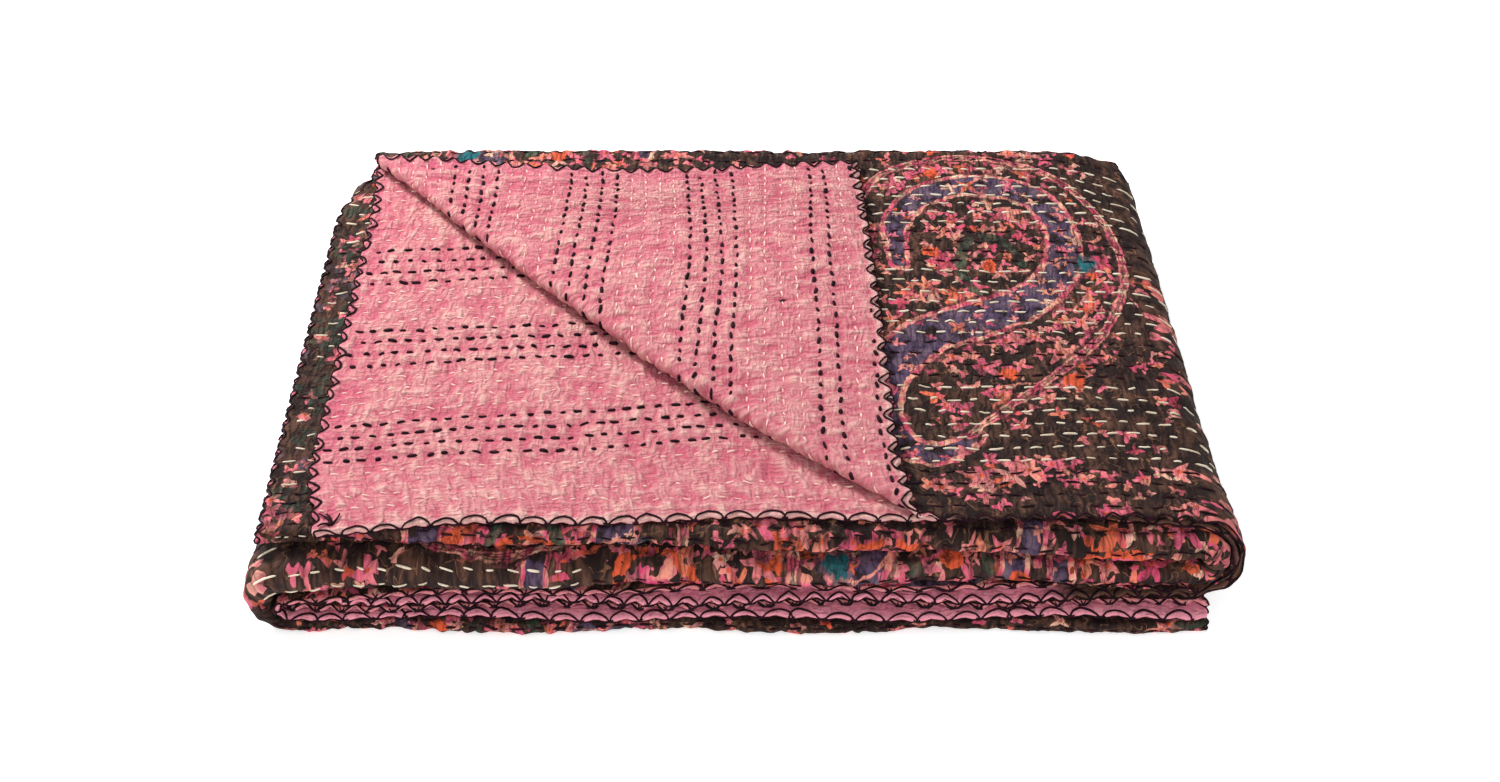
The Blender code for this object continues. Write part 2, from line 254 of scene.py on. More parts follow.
def turnedBack(u, v):
    t = turnedCorner
    drawIn = t["edgeDrawIn"] * np.sin(pi * v / topLength) ** 2
    drawIn = drawIn + t["cornerDrawIn"] * (1.0 - ease(t["cornerFade"] * v / topLength))
    u = np.where(v < topLength, u + drawIn * (1.0 - ease(u / t["edgeFade"])), u)
    along, beyond = fromDiagonal(u, v)
    hump = np.sin(pi * np.clip(along / diagonalLength, 0.0, 1.0))
    radius = t["rollRadius"] * (1.0 + t["swell"] * hump)
    rolled = pi * t["rollRadius"]
    angle = np.clip(beyond / t["rollRadius"], 0.0, pi)
    offset = np.where(beyond < 0.0, beyond, radius * np.sin(angle))
    offset = np.where(beyond > rolled, rolled - beyond, offset)
    lift = radius * (1.0 - np.cos(angle))
    landed = lerp(2.0 * radius, t["landedAt"] * pile["layerPitch"], ease((beyond - rolled) / t["bowFade"]))
    lift = np.where(beyond > rolled, landed, lift)
    offset = offset + t["bow"] * hump * (1.0 - ease(abs(offset) / t["bowFade"]))
    turning = (v <= topLength) & (beyond > -t["bowFade"])
    newU, newV = atDiagonal(along, offset)
    return np.where(turning, newU, u), np.where(turning, newV, v), np.where(turning, lift, 0.0)


# the folded points stand in the frame as the solid does: its box is centred on the origin
probeU, probeV = np.meshgrid(np.linspace(0, clothLength, 900), np.linspace(0, clothWidth, 900))
probe = folded(*turnedBack(probeU.ravel(), probeV.ravel()))
centring = -(probe.min(axis=0) + probe.max(axis=0)) / 2
centring[2] = 0.0
print("folded pile worked out, cloth", round(clothLength, 3), "by", round(clothWidth, 3))


# one smooth random field over the flat cloth for each use, all drawn in this order
dice = np.random.default_rng(41)


class Field:
    # a smooth random field that keeps its own lattice, so that stitches and cloth read the same one
    def __init__(self, acrossU, acrossV):
        self.acrossU, self.acrossV = acrossU, acrossV
        self.columns, self.rows = int(clothLength / acrossU) + 4, int(clothWidth / acrossV) + 4
        self.lattice = dice.random((self.columns, self.rows)) * 2.0 - 1.0

    def at(self, u, v):
        a = np.clip(u / self.acrossU + 1.0, 0.0, self.columns - 2.001)
        b = np.clip(v / self.acrossV + 1.0, 0.0, self.rows - 2.001)
        i, j = a.astype(int), b.astype(int)
        s, t = ease(a - i), ease(b - j)
        left = lerp(self.lattice[i, j], self.lattice[i, j + 1], t)
        right = lerp(self.lattice[i + 1, j], self.lattice[i + 1, j + 1], t)
        return lerp(left, right, s)


quilting = {  # rows of stitches, the grooves that they pull and the puckers between them
    "rowPitch": 0.0170, "firstRow": 0.0125, "rowWander": 0.0050, "rowShift": 0.37,
    "rowBend": 0.016, "bendUntil": 0.45, "bendFade": 0.20, "bendFromFront": 0.12,
    "pinkPitch": 0.0165, "printPitch": 0.0210,
    "grooveWidth": 0.0032, "grooveDepth": 0.00155, "grooveLeast": 0.35, "tight": (0.72, 0.50),
    "puff": 0.00045, "crinkle": 0.00100, "wrinkle": 0.00100, "mean": 0.3,
    "crease": 0.00150, "creaseSharpness": 2.0, "creaseSlant": 0.18,
    "foldCrease": 0.0006, "foldCreaseFrom": 0.06, "foldCreaseFade": 0.05,
    "calmEdge": 0.012, "calmLeast": 0.25, "slack": 0.0014, "slackFade": 0.06,
}
edging = {  # the overcast raw edges: pitch of the stitches, how far they draw the edge in and pinch it
    "frontPitch": 0.0245, "facingPitch": 0.0290, "endPitch": 0.0215, "drawnDepth": 0.0090,
    "frontDrawIn": 0.0056, "facingDrawIn": 0.0026, "endDrawIn": 0.0044,
    "roundOver": 0.0030, "pinch": 0.40, "plump": 0.36, "pinchDepth": 0.0060,
}
rowField = Field(0.23, 0.09)
crinkleField = Field(0.0085, 0.0190)
wrinkleField = Field(0.020, 0.033)
slackField = Field(0.085, 0.070)
creaseField = Field(0.0115, 0.030)
tightField = Field(0.060, 0.034)


def rowPosition(u, v):
    # v measured on the rows of stitching, which wander and bend a little
    q, fromFront = quilting, np.minimum(v, clothWidth - v)
    rising, falling = ease(u / q["bendUntil"]), 1.0 - ease((u - q["bendUntil"]) / q["bendFade"])
    bend = q["rowBend"] * rising * ease(fromFront / q["bendFromFront"]) * falling
    wander = q["rowWander"] * rowField.at(u, v)
    return fromFront + wander - np.where(v > clothWidth / 2, bend, 0.0)


def nearRawEdge(u, v):
    return np.minimum(np.minimum(v, clothWidth - v), np.minimum(u, clothLength - u))


def nodeCloseness(s, pitch):
    return (0.5 - 0.5 * np.cos(2 * pi * s / pitch)) ** 2


def drawnIn(u, v):
    # the raw edges are pulled in where the overcast stitches cross
    e, reach = edging, edging["drawnDepth"]
    front, facing = nodeCloseness(u, e["frontPitch"]), nodeCloseness(u, e["facingPitch"])
    end = nodeCloseness(v, e["endPitch"])
    newV = v + front * e["frontDrawIn"] * np.exp(-v / reach)
    newV = newV - facing * e["facingDrawIn"] * np.exp(-(clothWidth - v) / reach)
    newU = u + end * e["endDrawIn"] * (np.exp(-u / reach) - np.exp(-(clothLength - u) / reach))
    return newU, newV


def halfThick(u, v):
    # half the cloth's thickness, rounded over at the raw edges and pinched by their stitches
    radius, depth = edging["roundOver"], edging["pinchDepth"]
    half = pile["thickness"] / 2 * np.ones(len(u))
    for distance, along, pitch in (
            (v, u, edging["frontPitch"]), (clothWidth - v, u, edging["facingPitch"]),
            (u, v, edging["endPitch"]), (clothLength - u, v, edging["endPitch"])):
        half *= np.sqrt(1.0 - (1.0 - np.clip(distance / radius, 0.0, 1.0)) ** 2)
        drawn = nodeCloseness(along, pitch)
        swollen = edging["plump"] * (1.0 - drawn) - edging["pinch"] * drawn
        half *= 1.0 + swollen * np.exp(-distance / depth)
    return half


def quiltedRelief(u, v, side):
    # how far a face stands out from its mean: rows of stitches draw it in, and it puckers between them
    q = quilting
    place = (rowPosition(u, v) - q["firstRow"]) / q["rowPitch"]
    row = np.rint(place)
    fromRow = abs(place - row)  # 0 on a row, 0.5 halfway to the next
    pitch, other = (q["pinkPitch"], 0.3) if side < 0 else (q["printPitch"], 0.0)
    dimple = 0.5 + 0.5 * np.cos(2 * pi * (u / pitch + q["rowShift"] * row))
    tight = q["tight"][0] + q["tight"][1] * tightField.at(u, v)
    groove = np.exp(-(fromRow * q["rowPitch"] / q["grooveWidth"]) ** 2)
    groove = groove * lerp(q["grooveLeast"], 1.0, dimple) * tight
    between = np.sin(pi * fromRow)
    slanted = u + other + q["creaseSlant"] * v
    crease = np.clip(1.0 - q["creaseSharpness"] * abs(creaseField.at(slanted, v)), 0.0, 1.0)
    crease = crease * lerp(q["grooveLeast"], 1.0, between)
    crinkle = 1.0 - 2.0 * abs(crinkleField.at(u + 2 * other, v))
    wrinkle = 1.0 - 2.2 * abs(wrinkleField.at(u + other, v))
    height = q["puff"] * between - q["grooveDepth"] * groove - q["crease"] * crease
    height = height + q["crinkle"] * (crinkle - q["mean"]) + q["wrinkle"] * (wrinkle - q["mean"])
    onFold = 1.0 - ease((abs(v - clothWidth / 2) - q["foldCreaseFrom"]) / q["foldCreaseFade"])
    height = height - q["foldCrease"] * onFold * crease * (side > 0)
    return height * lerp(q["calmLeast"], 1.0, ease(nearRawEdge(u, v) / q["calmEdge"]))


def slackLift(u, v):
    # the top layer and the turned corner lie a little unevenly
    onTop = (v < topLength) * (u < upperLength)
    near = np.minimum(np.minimum(v, topLength - v), np.minimum(u, upperLength - u))
    return quilting["slack"] * slackField.at(u, v) * onTop * ease(near / quilting["slackFade"])


def clothMiddle(u, v):
    turnedU, turnedV, lift = turnedBack(*drawnIn(u, v))
    return folded(turnedU, turnedV, lift + slackLift(u, v))


def clothFace(u, v, side, lift=0.0):
    # points on the printed face (side 1) or the pink one (side -1), with how far relief lifts each
    step = 0.0005
    middle = clothMiddle(u, v)
    alongU = clothMiddle(u + step, v) - clothMiddle(u - step, v)
    alongV = clothMiddle(u, v + step) - clothMiddle(u, v - step)
    normal = np.cross(alongU, alongV)
    normal /= np.linalg.norm(normal, axis=1, keepdims=True) + 1e-12
    half, relief = halfThick(u, v), quiltedRelief(u, v, side)
    shown = half * 2 / pile["thickness"]
    out = half + relief * shown + lift
    return middle + centring + normal * (side * out)[:, None], relief * shown, normal * side


def evenCuts(start, span, cell):
    count = max(1, round(span / cell))
    return [start + span * step / count for step in range(count)]


def flatGrid(name, cuts, wanted):
    # a plane grid moved to the cuts, then its edges halved where the cells are to be finer
    bpy.ops.object.select_all(action="DESELECT")
    columns, rows = len(cuts[0]) - 1, len(cuts[1]) - 1
    bpy.ops.mesh.primitive_grid_add(x_subdivisions=columns, y_subdivisions=rows, size=1)
    sheet = bpy.context.object
    sheet.name = sheet.data.name = name
    for layer in list(sheet.data.uv_layers):
        sheet.data.uv_layers.remove(layer)
    flat = readPoints(sheet)
    for axis in (0, 1):
        cell = np.rint((flat[:, axis] + 0.5) * (len(cuts[axis]) - 1)).astype(int)
        flat[:, axis] = np.array(cuts[axis])[cell]
    writePoints(sheet, flat)
    bpy.context.tool_settings.mesh_select_mode = (False, True, False)
    for halving in range(8):
        flat = readPoints(sheet)
        ends = np.empty(len(sheet.data.edges) * 2, np.int32)
        sheet.data.edges.foreach_get("vertices", ends)
        ends = ends.reshape(-1, 2)
        middle = (flat[ends[:, 0]] + flat[ends[:, 1]]) / 2
        length = np.linalg.norm(flat[ends[:, 0]] - flat[ends[:, 1]], axis=1)
        tooLong = length > 1.5 * wanted(middle[:, 0], middle[:, 1])
        if not tooLong.any():
            break
        chosen = np.zeros(len(flat), bool)
        chosen[ends[tooLong].ravel()] = True
        sheet.data.polygons.foreach_set("select", np.zeros(len(sheet.data.polygons), bool))
        sheet.data.vertices.foreach_set("select", chosen)
        sheet.data.edges.foreach_set("select", tooLong)
        bpy.ops.object.mode_set(mode="EDIT")
        bpy.ops.mesh.subdivide(number_cuts=1, ngon=False, quadcorner="INNERVERT")
        bpy.ops.object.mode_set(mode="OBJECT")
    return sheet


def readPoints(thing):
    flat = np.empty(len(thing.data.vertices) * 3)
    thing.data.vertices.foreach_get("co", flat)
    return flat.reshape(-1, 3)


def writePoints(thing, points):
    thing.data.vertices.foreach_set("co", points.ravel())
    thing.data.update()


def keepFlatMap(sheet):
    # the flat cloth's own metres, as a UV map
    flat = readPoints(sheet)
    corner = np.empty(len(sheet.data.loops), np.int32)
    sheet.data.loops.foreach_get("vertex_index", corner)
    layer = sheet.data.uv_layers.new(name="flatCloth")
    layer.data.foreach_set("uv", flat[corner, :2].ravel())
    return flat


def clothCuts(coarse, roll):
    # where the grid is cut along u and along v, with three cuts near each raw edge for its round
    hems, cuts = [edging["roundOver"] * share for share in (0.06, 0.3, 1.0)], []
    for sections, length in ((alongU, clothLength), (alongV, clothWidth)):
        along = [*hems, *(length - hem for hem in hems), length]
        for name, start, span, *_ in sections:
            along += evenCuts(start, span, roll if "roll" in name else coarse)
        cuts.append(sorted(along))
    return cuts


printedFace = {"coarse": 0.0254, "roll": 0.0078, "fine": 0.0026, "folds": 0.0052, "edges": 0.0060}
pinkFace = {"coarse": 0.0222, "roll": 0.0120, "fine": 0.0026, "edges": 0.0056}
reaches = {  # how far past rolls, folds and edges cloth counts as showing; the bulge is from u to u
    "flap": 0.006, "underRoll": 0.024, "coveredU": 0.035, "coveredV": 0.022, "facing": 1.07,
    "behind": 0.02, "side": 0.03, "round": 0.01, "edge": 0.026, "fold": 0.060, "frontOfFold": 0.033,
    "strip": 0.07, "sewnStrip": 0.05, "sewnFold": 0.030, "darkFold": 0.062, "bulge": (1.50, 1.82),
}


def coveredByCorner(u, v):
    along, beyond = fromDiagonal(u, v)
    underU, underV = atDiagonal(along, -beyond)
    under = (underU > reaches["coveredU"]) & (underV > reaches["coveredV"])
    return (v < topLength) & (beyond < 0) & under


def flapShows(u, v):
    return (v < topLength) & (fromDiagonal(u, v)[1] > -reaches["flap"])


def facingShows(u, v):
    bare = u / turnedCorner["endU"] + (clothWidth - v) / topLength < reaches["facing"]
    return (v > startOfV["facing"]) & bare


def topPrintShows(u, v):
    onTop = (v < topLength + reaches["behind"]) & (u < upperLength + reaches["side"])
    return onTop & (fromDiagonal(u, v)[1] < reaches["underRoll"]) & ~coveredByCorner(u, v)


def printedCells(u, v):
    # the finest cells are where the print shows best, so they come last
    r, fromFold = reaches, abs(v - foldMiddle)
    inside = (v > startOfV["fourth"]) & (v < startOfV["inner roll"])
    zones = [
        ("folds", fromFold < r["fold"]), ("folds", inside & (u < r["strip"])),
        ("folds", (v > topLength) & (v < startOfV["fourth"] + r["side"])),
        ("folds", (u > upperLength - r["behind"]) & (u < startOfU["middle"] + r["round"])),
        ("folds", (u > startOfU["left roll"] - r["round"]) & (u < startOfU["lower"] + r["round"])),
        ("edges", nearRawEdge(u, v) < r["edge"]),
        ("fine", (fromFold < r["frontOfFold"]) | topPrintShows(u, v)),
    ]
    size = np.full(len(u), printedFace["coarse"])
    for name, zone in zones:
        size[zone] = printedFace[name]
    return size


def pinkCells(u, v):
    size = np.full(len(u), pinkFace["coarse"])
    size[nearRawEdge(u, v) < reaches["edge"]] = pinkFace["edges"]
    size[flapShows(u, v) | facingShows(u, v)] = pinkFace["fine"]
    return size


def layCloth(name, sizes, cells, side):
    sheet = flatGrid(name, clothCuts(sizes["coarse"], sizes["roll"]), cells)
    flat = keepFlatMap(sheet)
    points, relief, _ = clothFace(flat[:, 0], flat[:, 1], side)
    points[:, 2] = np.maximum(points[:, 2], 0.0)
    writePoints(sheet, points)
    # the relief in mm, kept for the materials, which use it for painted shade in grooves and creases
    wearAndShade = sheet.data.attributes.new("relief", "FLOAT", "POINT")
    wearAndShade.data.foreach_set("value", (relief * 1000).astype(np.float32))
    if side < 0:
        bpy.ops.object.mode_set(mode="EDIT")
        bpy.ops.mesh.select_all(action="SELECT")
        bpy.ops.mesh.flip_normals()
        bpy.ops.object.mode_set(mode="OBJECT")
    bpy.ops.object.shade_smooth()
    print(name, "laid", len(sheet.data.polygons), "faces")
    return sheet, flat


printedCloth, printedFlat = layCloth("printed_face", printedFace, printedCells, 1)
pinkCloth, pinkFlat = layCloth("pink_face", pinkFace, pinkCells, -1)


def summed(operation):
    return lambda self, value: self.maths(operation, self, value)


class Wire:
    # a socket of a material's nodes that can be written into sums
    __add__ = __radd__ = summed("ADD")
    __mul__ = __rmul__ = summed("MULTIPLY")
    __sub__, __truediv__ = summed("SUBTRACT"), summed("DIVIDE")
    __gt__, __lt__ = summed("GREATER_THAN"), summed("LESS_THAN")

    def __init__(self, tree, socket=None):
        self.tree, self.socket = tree, socket

    def make(self, kind, sockets, out=0, **settings):
        node = self.tree.nodes.new("ShaderNode" + kind)
        for name, value in settings.items():
            if name == "stops":
                while len(node.color_ramp.elements) < len(value):
                    node.color_ramp.elements.new(1.0)
                for element, (place, colour) in zip(node.color_ramp.elements, value):
                    element.position, element.color = place, colour
            else:
                setattr(node, name, value)
        for name, value in sockets.items():
            if isinstance(value, Wire):
                self.tree.links.new(value.socket, node.inputs[name])
            else:
                node.inputs[name].default_value = value
        return Wire(self.tree, node.outputs[out])

    def other(self, out):
        return Wire(self.tree, self.socket.node.outputs[out])

    def maths(self, operation, first, second=0.0):
        return self.make("Math", {0: first, 1: second}, operation=operation)

    def vectors(self, operation, first, second, out=0):
        return self.make("VectorMath", {0: first, 1: second}, out, operation=operation)

    def __rsub__(self, value):
        return self.maths("SUBTRACT", value, self)

    def __abs__(self):
        return self.maths("ABSOLUTE", self)

    def clamped(self):
        return self.make("Clamp", {"Value": self})

    def below(self, limit, sharpness):
        # 1 well under the limit and 0 past it, over an edge as sharp as asked
        return ((limit - self) * sharpness).clamped()

    def mixed(self, first, second):
        # two colours mixed by this number
        return self.make("Mix", {0: self, 6: first, 7: second}, 2, data_type="RGBA")

    def ramped(self, *stops):
        return self.make("ValToRGB", {"Fac": self}, stops=stops)

    def noise(self, scale, detail=2.0, out=0):
        return self.make("TexNoise", {"Vector": self, "Scale": scale, "Detail": detail}, out)

    def stretched(self, x, y, z=1.0):
        return self.vectors("MULTIPLY", self, (x, y, z))

    def shifted(self, x, y):
        return self.vectors("ADD", self, (x, y, 0.0))

    def warped(self, scale, amount):
        # a vector moved about by noise of its own
        swing = self.vectors("SUBTRACT", self.noise(scale, 1.0, out=1), (0.5, 0.5, 0.5))
        swing = self.make("VectorMath", {0: swing, "Scale": 2.0 * amount}, operation="SCALE")
        return self.vectors("ADD", self, swing)


def tint(red, green, blue):
    # a screen colour, 0 to 255, as the linear colour that a shader takes
    linear = [c / 12.92 if c <= 0.04045 else ((c + 0.055) / 1.055) ** 2.4
              for c in (red / 255, green / 255, blue / 255)]
    return (*linear, 1.0)


def newMaterial(name, roughness, specular=0.25, sheen=0.0):
    material = bpy.data.materials.new(name)
    material.use_nodes = True
    shader = material.node_tree.nodes["Principled BSDF"]
    for name, value in {"Roughness": roughness, "Specular IOR Level": specular,
                        "Sheen Weight": sheen, "Sheen Roughness": 0.6}.items():
        shader.inputs[name].default_value = value
    return material, shader, Wire(material.node_tree)


def attribute(wire, name):
    return wire.make("Attribute", {}, 2, attribute_name=name)


def finishMaterial(material, shader, colour, height, strength, distance):
    tree = material.node_tree
    tree.links.new(colour.socket, shader.inputs["Base Color"])
    bump = colour.make("Bump", {"Strength": strength, "Distance": distance, "Height": height})
    tree.links.new(bump.socket, shader.inputs["Normal"])
    return material


def weave(flat, pitch):
    # the threads of a plain weave, from 0 to 1
    parts = flat.make("SeparateXYZ", {0: flat})
    across = parts.maths("SINE", parts * (2 * pi / pitch))
    along = parts.maths("SINE", parts.other(1) * (2 * pi / pitch))
    return across * along * 0.5 + 0.5


printColours = {
    "black": tint(29, 14, 13), "brown": tint(92, 60, 46), "tendril": tint(150, 102, 76),
    "faded": tint(140, 104, 92), "hem": tint(226, 138, 140), "paleGreen": tint(88, 104, 78),
    "pink": tint(228, 108, 130), "rose": tint(204, 72, 98), "salmon": tint(240, 150, 130),
    "pale": tint(246, 192, 166), "orange": tint(232, 92, 54), "violet": tint(80, 62, 94),
    "greyViolet": tint(112, 90, 106), "green": tint(58, 78, 62), "teal": tint(16, 104, 112),
    "magenta": tint(218, 66, 116),
}


def scattered(flat, cell, reach, lobes, share, turn=0.0):
    # pointed leaves, one in some cells of a scatter: how much of one is here, its own number, how far out
    # in it this point lies, whether this is its darker side, and where its middle is
    cells = flat.make("TexVoronoi", {"Vector": flat, "Scale": 1.0 / cell, "Randomness": 0.95},
                      voronoi_dimensions="2D")
    own = cells.make("SeparateColor", {0: cells.other(1)})
    local = cells.vectors("SUBTRACT", flat, cells.other(2))
    place = cells.make("SeparateXYZ", {0: local})
    radius = cells.vectors("LENGTH", local, (0.0, 0.0, 0.0), 1)
    angle = cells.maths("ARCTAN2", place.other(1), place) + own * 6.28 + turn
    tips = 1.0 - abs(cells.maths("SINE", angle * (lobes / 2.0)))
    rim = (tips * 0.86 + 0.34) * (own.other(1) * 0.7 + 0.65) * reach
    inside = ((rim - radius) * (1.0 / 0.0007) + 0.5).clamped()
    darker = cells.maths("SINE", angle + 0.8) > 0.30
    return inside * (own.other(2) < share), own, radius / reach, darker, cells.other(2)


def line(distance, middle, halfWidth, soft=0.0006):
    # a drawn line at some distance from a stroke
    return ((halfWidth - abs(distance - middle)) * (1.0 / soft) + 0.5).clamped()


leafSizes = [  # the scattered leaves: cell, reach, lobes, share of cells, turn, and crowding that they need
    (0.0112, 0.0078, 3.0, 0.42, 0.0, 0.55), (0.0175, 0.0124, 4.0, 0.43, 1.0, 0.555),
    (0.0290, 0.0168, 5.0, 0.45, 2.0, 0.565),
]
bandLeaves = [(0.0105, 0.0056, 0.24, 0.3), (0.0185, 0.0100, 0.20, 1.3)]  # cell, reach, share and turn


def printedCotton():
    c = printColours
    material, shader, wire = newMaterial("printed cotton", 0.88)
    flat = wire.make("UVMap", {}, uv_map="flatCloth")
    relief = attribute(flat, "relief")
    puckered = flat.make("CombineXYZ", {1: relief * 0.0016})  # puckers swallow some of it
    drawn = flat.vectors("ADD", flat, puckered)
    soft = drawn.warped(40.0, 0.0035)
    ragged = soft.warped(170.0, 0.0018)
    rough = (ragged.noise(110.0, 2.0) - 0.5) * 0.006 + relief * 0.0008
    gathers = abs(soft.stretched(1.0, 0.28).noise(118.0, 1.0) - 0.5)  # across the rows of stitching
    crumple = abs(soft.noise(120.0, 2.0) - 0.5)

    # the dark ground, with painted shade darker along the gathers' creases, its tendrils, and leaves where
    # they crowd
    groundMottleAndShade = ragged.stretched(1.0, 0.6).noise(46.0, 4.0) + gathers * 0.9
    ground = groundMottleAndShade.ramped((0.50, c["black"]), (0.76, c["brown"]))
    curl = abs(ragged.noise(58.0, 1.0) - 0.5)
    tendrils = (curl < 0.010) * (soft.shifted(3.0, 1.0).noise(16.0) > 0.48)
    colour = (tendrils * 0.6).mixed(ground, c["tendril"])
    bloomRamp = ((0.0, c["pink"]), (0.25, c["salmon"]), (0.42, c["pink"]), (0.58, c["rose"]),
                 (0.72, c["pale"]), (0.86, c["orange"]), (1.0, c["salmon"]))
    crowded = attribute(flat, "fill") * 0.10 + attribute(flat, "spray") * 0.16
    for cell, reach, lobes, share, turn, low in leafSizes:
        leaf, own, inner, darker, middle = scattered(
            soft.shifted(turn, 0.4 * turn), cell, reach, lobes, share, turn)
        paint = (darker * 0.40).mixed(own.ramped(*bloomRamp), c["magenta"])
        paint = (inner < 0.15).mixed(paint, c["orange"]) if lobes > 3.0 else paint
        crowd = middle.shifted(7.0, 2.0).noise(19.0, 2.0) + crowded  # at its middle, so that it stays whole
        colour = (leaf * (crowd > low)).mixed(colour, paint)

    # the large motifs, each painted over the ones before
    def away(name, uneven=1.0):
        return attribute(flat, name) + rough * uneven

    band, rim, crescent = [abs(away(name)) for name in ("band", "rim", "crescent")]
    stem, arch, end = abs(away("stem", 0.6)), attribute(flat, "arch"), away("fromEnd", 0.5)
    flower, star = away("flower", 2.4), away("star", 3.0)
    lineTint = ragged.noise(75.0, 2.0).ramped(
        (0.38, c["rose"]), (0.46, c["pink"]), (0.54, c["salmon"]), (0.66, c["pale"]))
    bitten = (ragged.shifted(4.0, 0.0).noise(130.0, 1.0) > 0.31) * 0.95  # lines are broken here and there
    archTint = ragged.noise(55.0, 2.0).ramped((0.40, c["magenta"]), (0.5, c["pink"]), (0.60, c["salmon"]))
    archTint = (soft.noise(48.0, 2.0) > 0.50).mixed(archTint, ground)
    archLine = line(arch + rough * 60.0, 0.90, 0.20, 0.05) * (ragged.noise(80.0, 1.0) > 0.47)
    violet = ragged.noise(58.0, 4.0).ramped((0.38, c["black"]), (0.47, c["violet"]), (0.66, c["greyViolet"]))
    green = ragged.noise(70.0, 3.0).ramped((0.40, c["black"]), (0.52, c["green"]), (0.70, c["paleGreen"]))
    onBand = []
    for cell, reach, share, turn in bandLeaves:
        leaf, own, *_ = scattered(ragged.shifted(turn, 0.9), cell, reach, 4.0, share, turn)
        onBand.append((leaf * (band < 0.0115), own.ramped(*bloomRamp)))
    blocks = soft.stretched(0.55, 1.0).noise(21.0, 1.0).ramped(
        (0.38, c["green"]), (0.43, c["green"]), (0.45, c["brown"]), (0.55, c["brown"]),
        (0.57, c["greyViolet"]))
    faded = drawn.stretched(1.0, 2.2).noise(22.0, 3.0).ramped((0.35, (0, 0, 0, 1)), (0.75, (1, 1, 1, 1)))
    for mask, paint in (
            (arch.below(0.74, 12.0), archTint), (archLine, c["orange"]),
            (band.below(0.0240, 900.0) * 0.70, ground), (band.below(0.0125, 1400.0), violet), *onBand,
            (line(band, 0.0154, 0.0030) * bitten, lineTint),
            (rim.below(0.0095, 900.0) * 0.7, ground), (line(rim, 0.0, 0.0046) * bitten, lineTint),
            (line(rim, 0.0014, 0.0007) * 0.7, c["black"]), (line(stem, 0.0, 0.0014) * bitten, c["salmon"]),
            (crescent.below(0.0062, 1200.0) * 0.9, green), (flower.below(0.0100, 700.0), c["orange"]),
            (star.below(0.0150, 500.0) * 0.6, c["greyViolet"]), (star.below(0.0096, 700.0), c["teal"]),
            (end.below(0.040, 500.0) * (soft.noise(60.0, 1.0) > 0.5) * 0.60, blocks),
            # painted shade: black lines along the gathers' creases
            (faded * 0.10, c["faded"]), (gathers.below(0.022, 50.0) * 0.55, c["black"])):
        colour = mask.mixed(colour, paint)

    shade = (relief * 0.22 + gathers * 2.6 + crumple * 1.8 + 0.56).clamped()
    colour = shade.mixed(c["black"], colour)
    colour = attribute(flat, "fromHem").below(0.0030, 2500.0).mixed(colour, c["hem"])
    height = weave(flat, 0.0012) * 0.08 + flat.noise(420.0, 3.0) * 0.30 + gathers * 3.0 + crumple * 2.0
    return finishMaterial(material, shader, colour, height, 1.0, 0.0036)


def pinkCotton():
    material, shader, wire = newMaterial("dyed pink cotton", 0.88, sheen=0.05)
    flat = wire.make("UVMap", {}, uv_map="flatCloth")
    relief = attribute(flat, "relief")
    slubs = flat.noise(420.0, 2.0)
    gathers = abs(flat.warped(60.0, 0.004).stretched(1.0, 0.36).noise(122.0, 1.0) - 0.5)  # across the rows
    wavelets = abs(flat.warped(90.0, 0.003).stretched(0.32, 1.0).noise(160.0, 1.0) - 0.5)  # along them
    creases = abs(flat.stretched(1.2, 0.6).warped(70.0, 0.004).noise(62.0, 1.0) - 0.5)
    folds = gathers + wavelets * 0.8
    # painted shade: paler on the fold ridges and the relief's high points, deeper pink in their valleys and
    # the quilted grooves; the slubs are the yarn's own
    mottleAndShade = (folds + slubs * 0.34 + relief * 0.085 + 0.225).clamped()
    colour = mottleAndShade.ramped((0.32, tint(200, 96, 114)), (0.46, tint(208, 124, 132)),
                           (0.58, tint(214, 142, 142)), (0.74, tint(226, 172, 164)))
    # painted shade: deeper pink along the crease lines
    colour = (creases.below(0.016, 60.0) * 0.40).mixed(colour, tint(204, 86, 112))
    bright = (0.040 - attribute(flat, "fromEnd")) * 22.0 + flat.noise(20.0, 2.0) - 0.5
    colour = (bright.clamped() * 0.40).mixed(colour, tint(214, 84, 122))
    # wear only here: paler pink along the raw edges
    wearAndShade = (0.0085 - attribute(flat, "fromHem") + (flat.noise(90.0, 1.0) - 0.5) * 0.004) * 260.0
    colour = (wearAndShade.clamped() * 0.55).mixed(colour, tint(242, 200, 188))
    # painted light: brighter pink on the low layers' raw edges, which lie in shade
    colour = (attribute(flat, "lowHem") * 0.75).mixed(colour, tint(252, 150, 176))
    colour = attribute(flat, "rolledHem").mixed(colour, printColours["brown"])
    height = weave(flat, 0.0012) * 0.10 + slubs * 0.26 + folds * 2.3 + creases * 1.9
    return finishMaterial(material, shader, colour, height, 1.0, 0.0036)


def threadMaterial(name, dark, light):
    material, shader, wire = newMaterial(name, 0.75, 0.12)
    place = wire.make("TexCoord", {}, 3)
    colour = place.noise(90.0, 2.0).ramped((0.4, dark), (0.62, light))
    twist = place.noise(1400.0, 1.0)
    return finishMaterial(material, shader, colour, twist, 0.5, 0.0004)


def floorMaterial():
    material, shader, wire = newMaterial("pale floor", 0.9)
    place = wire.make("TexCoord", {}, 3)
    colour = place.noise(3.0, 1.0).ramped((0.0, tint(250, 250, 250)), (1.0, tint(252, 252, 252)))
    shader.inputs["Emission Color"].default_value = (1.0, 1.0, 1.0, 1.0)
    shader.inputs["Emission Strength"].default_value = 0.50
    return finishMaterial(material, shader, colour, place.noise(200.0, 1.0), 0.02, 0.0002)


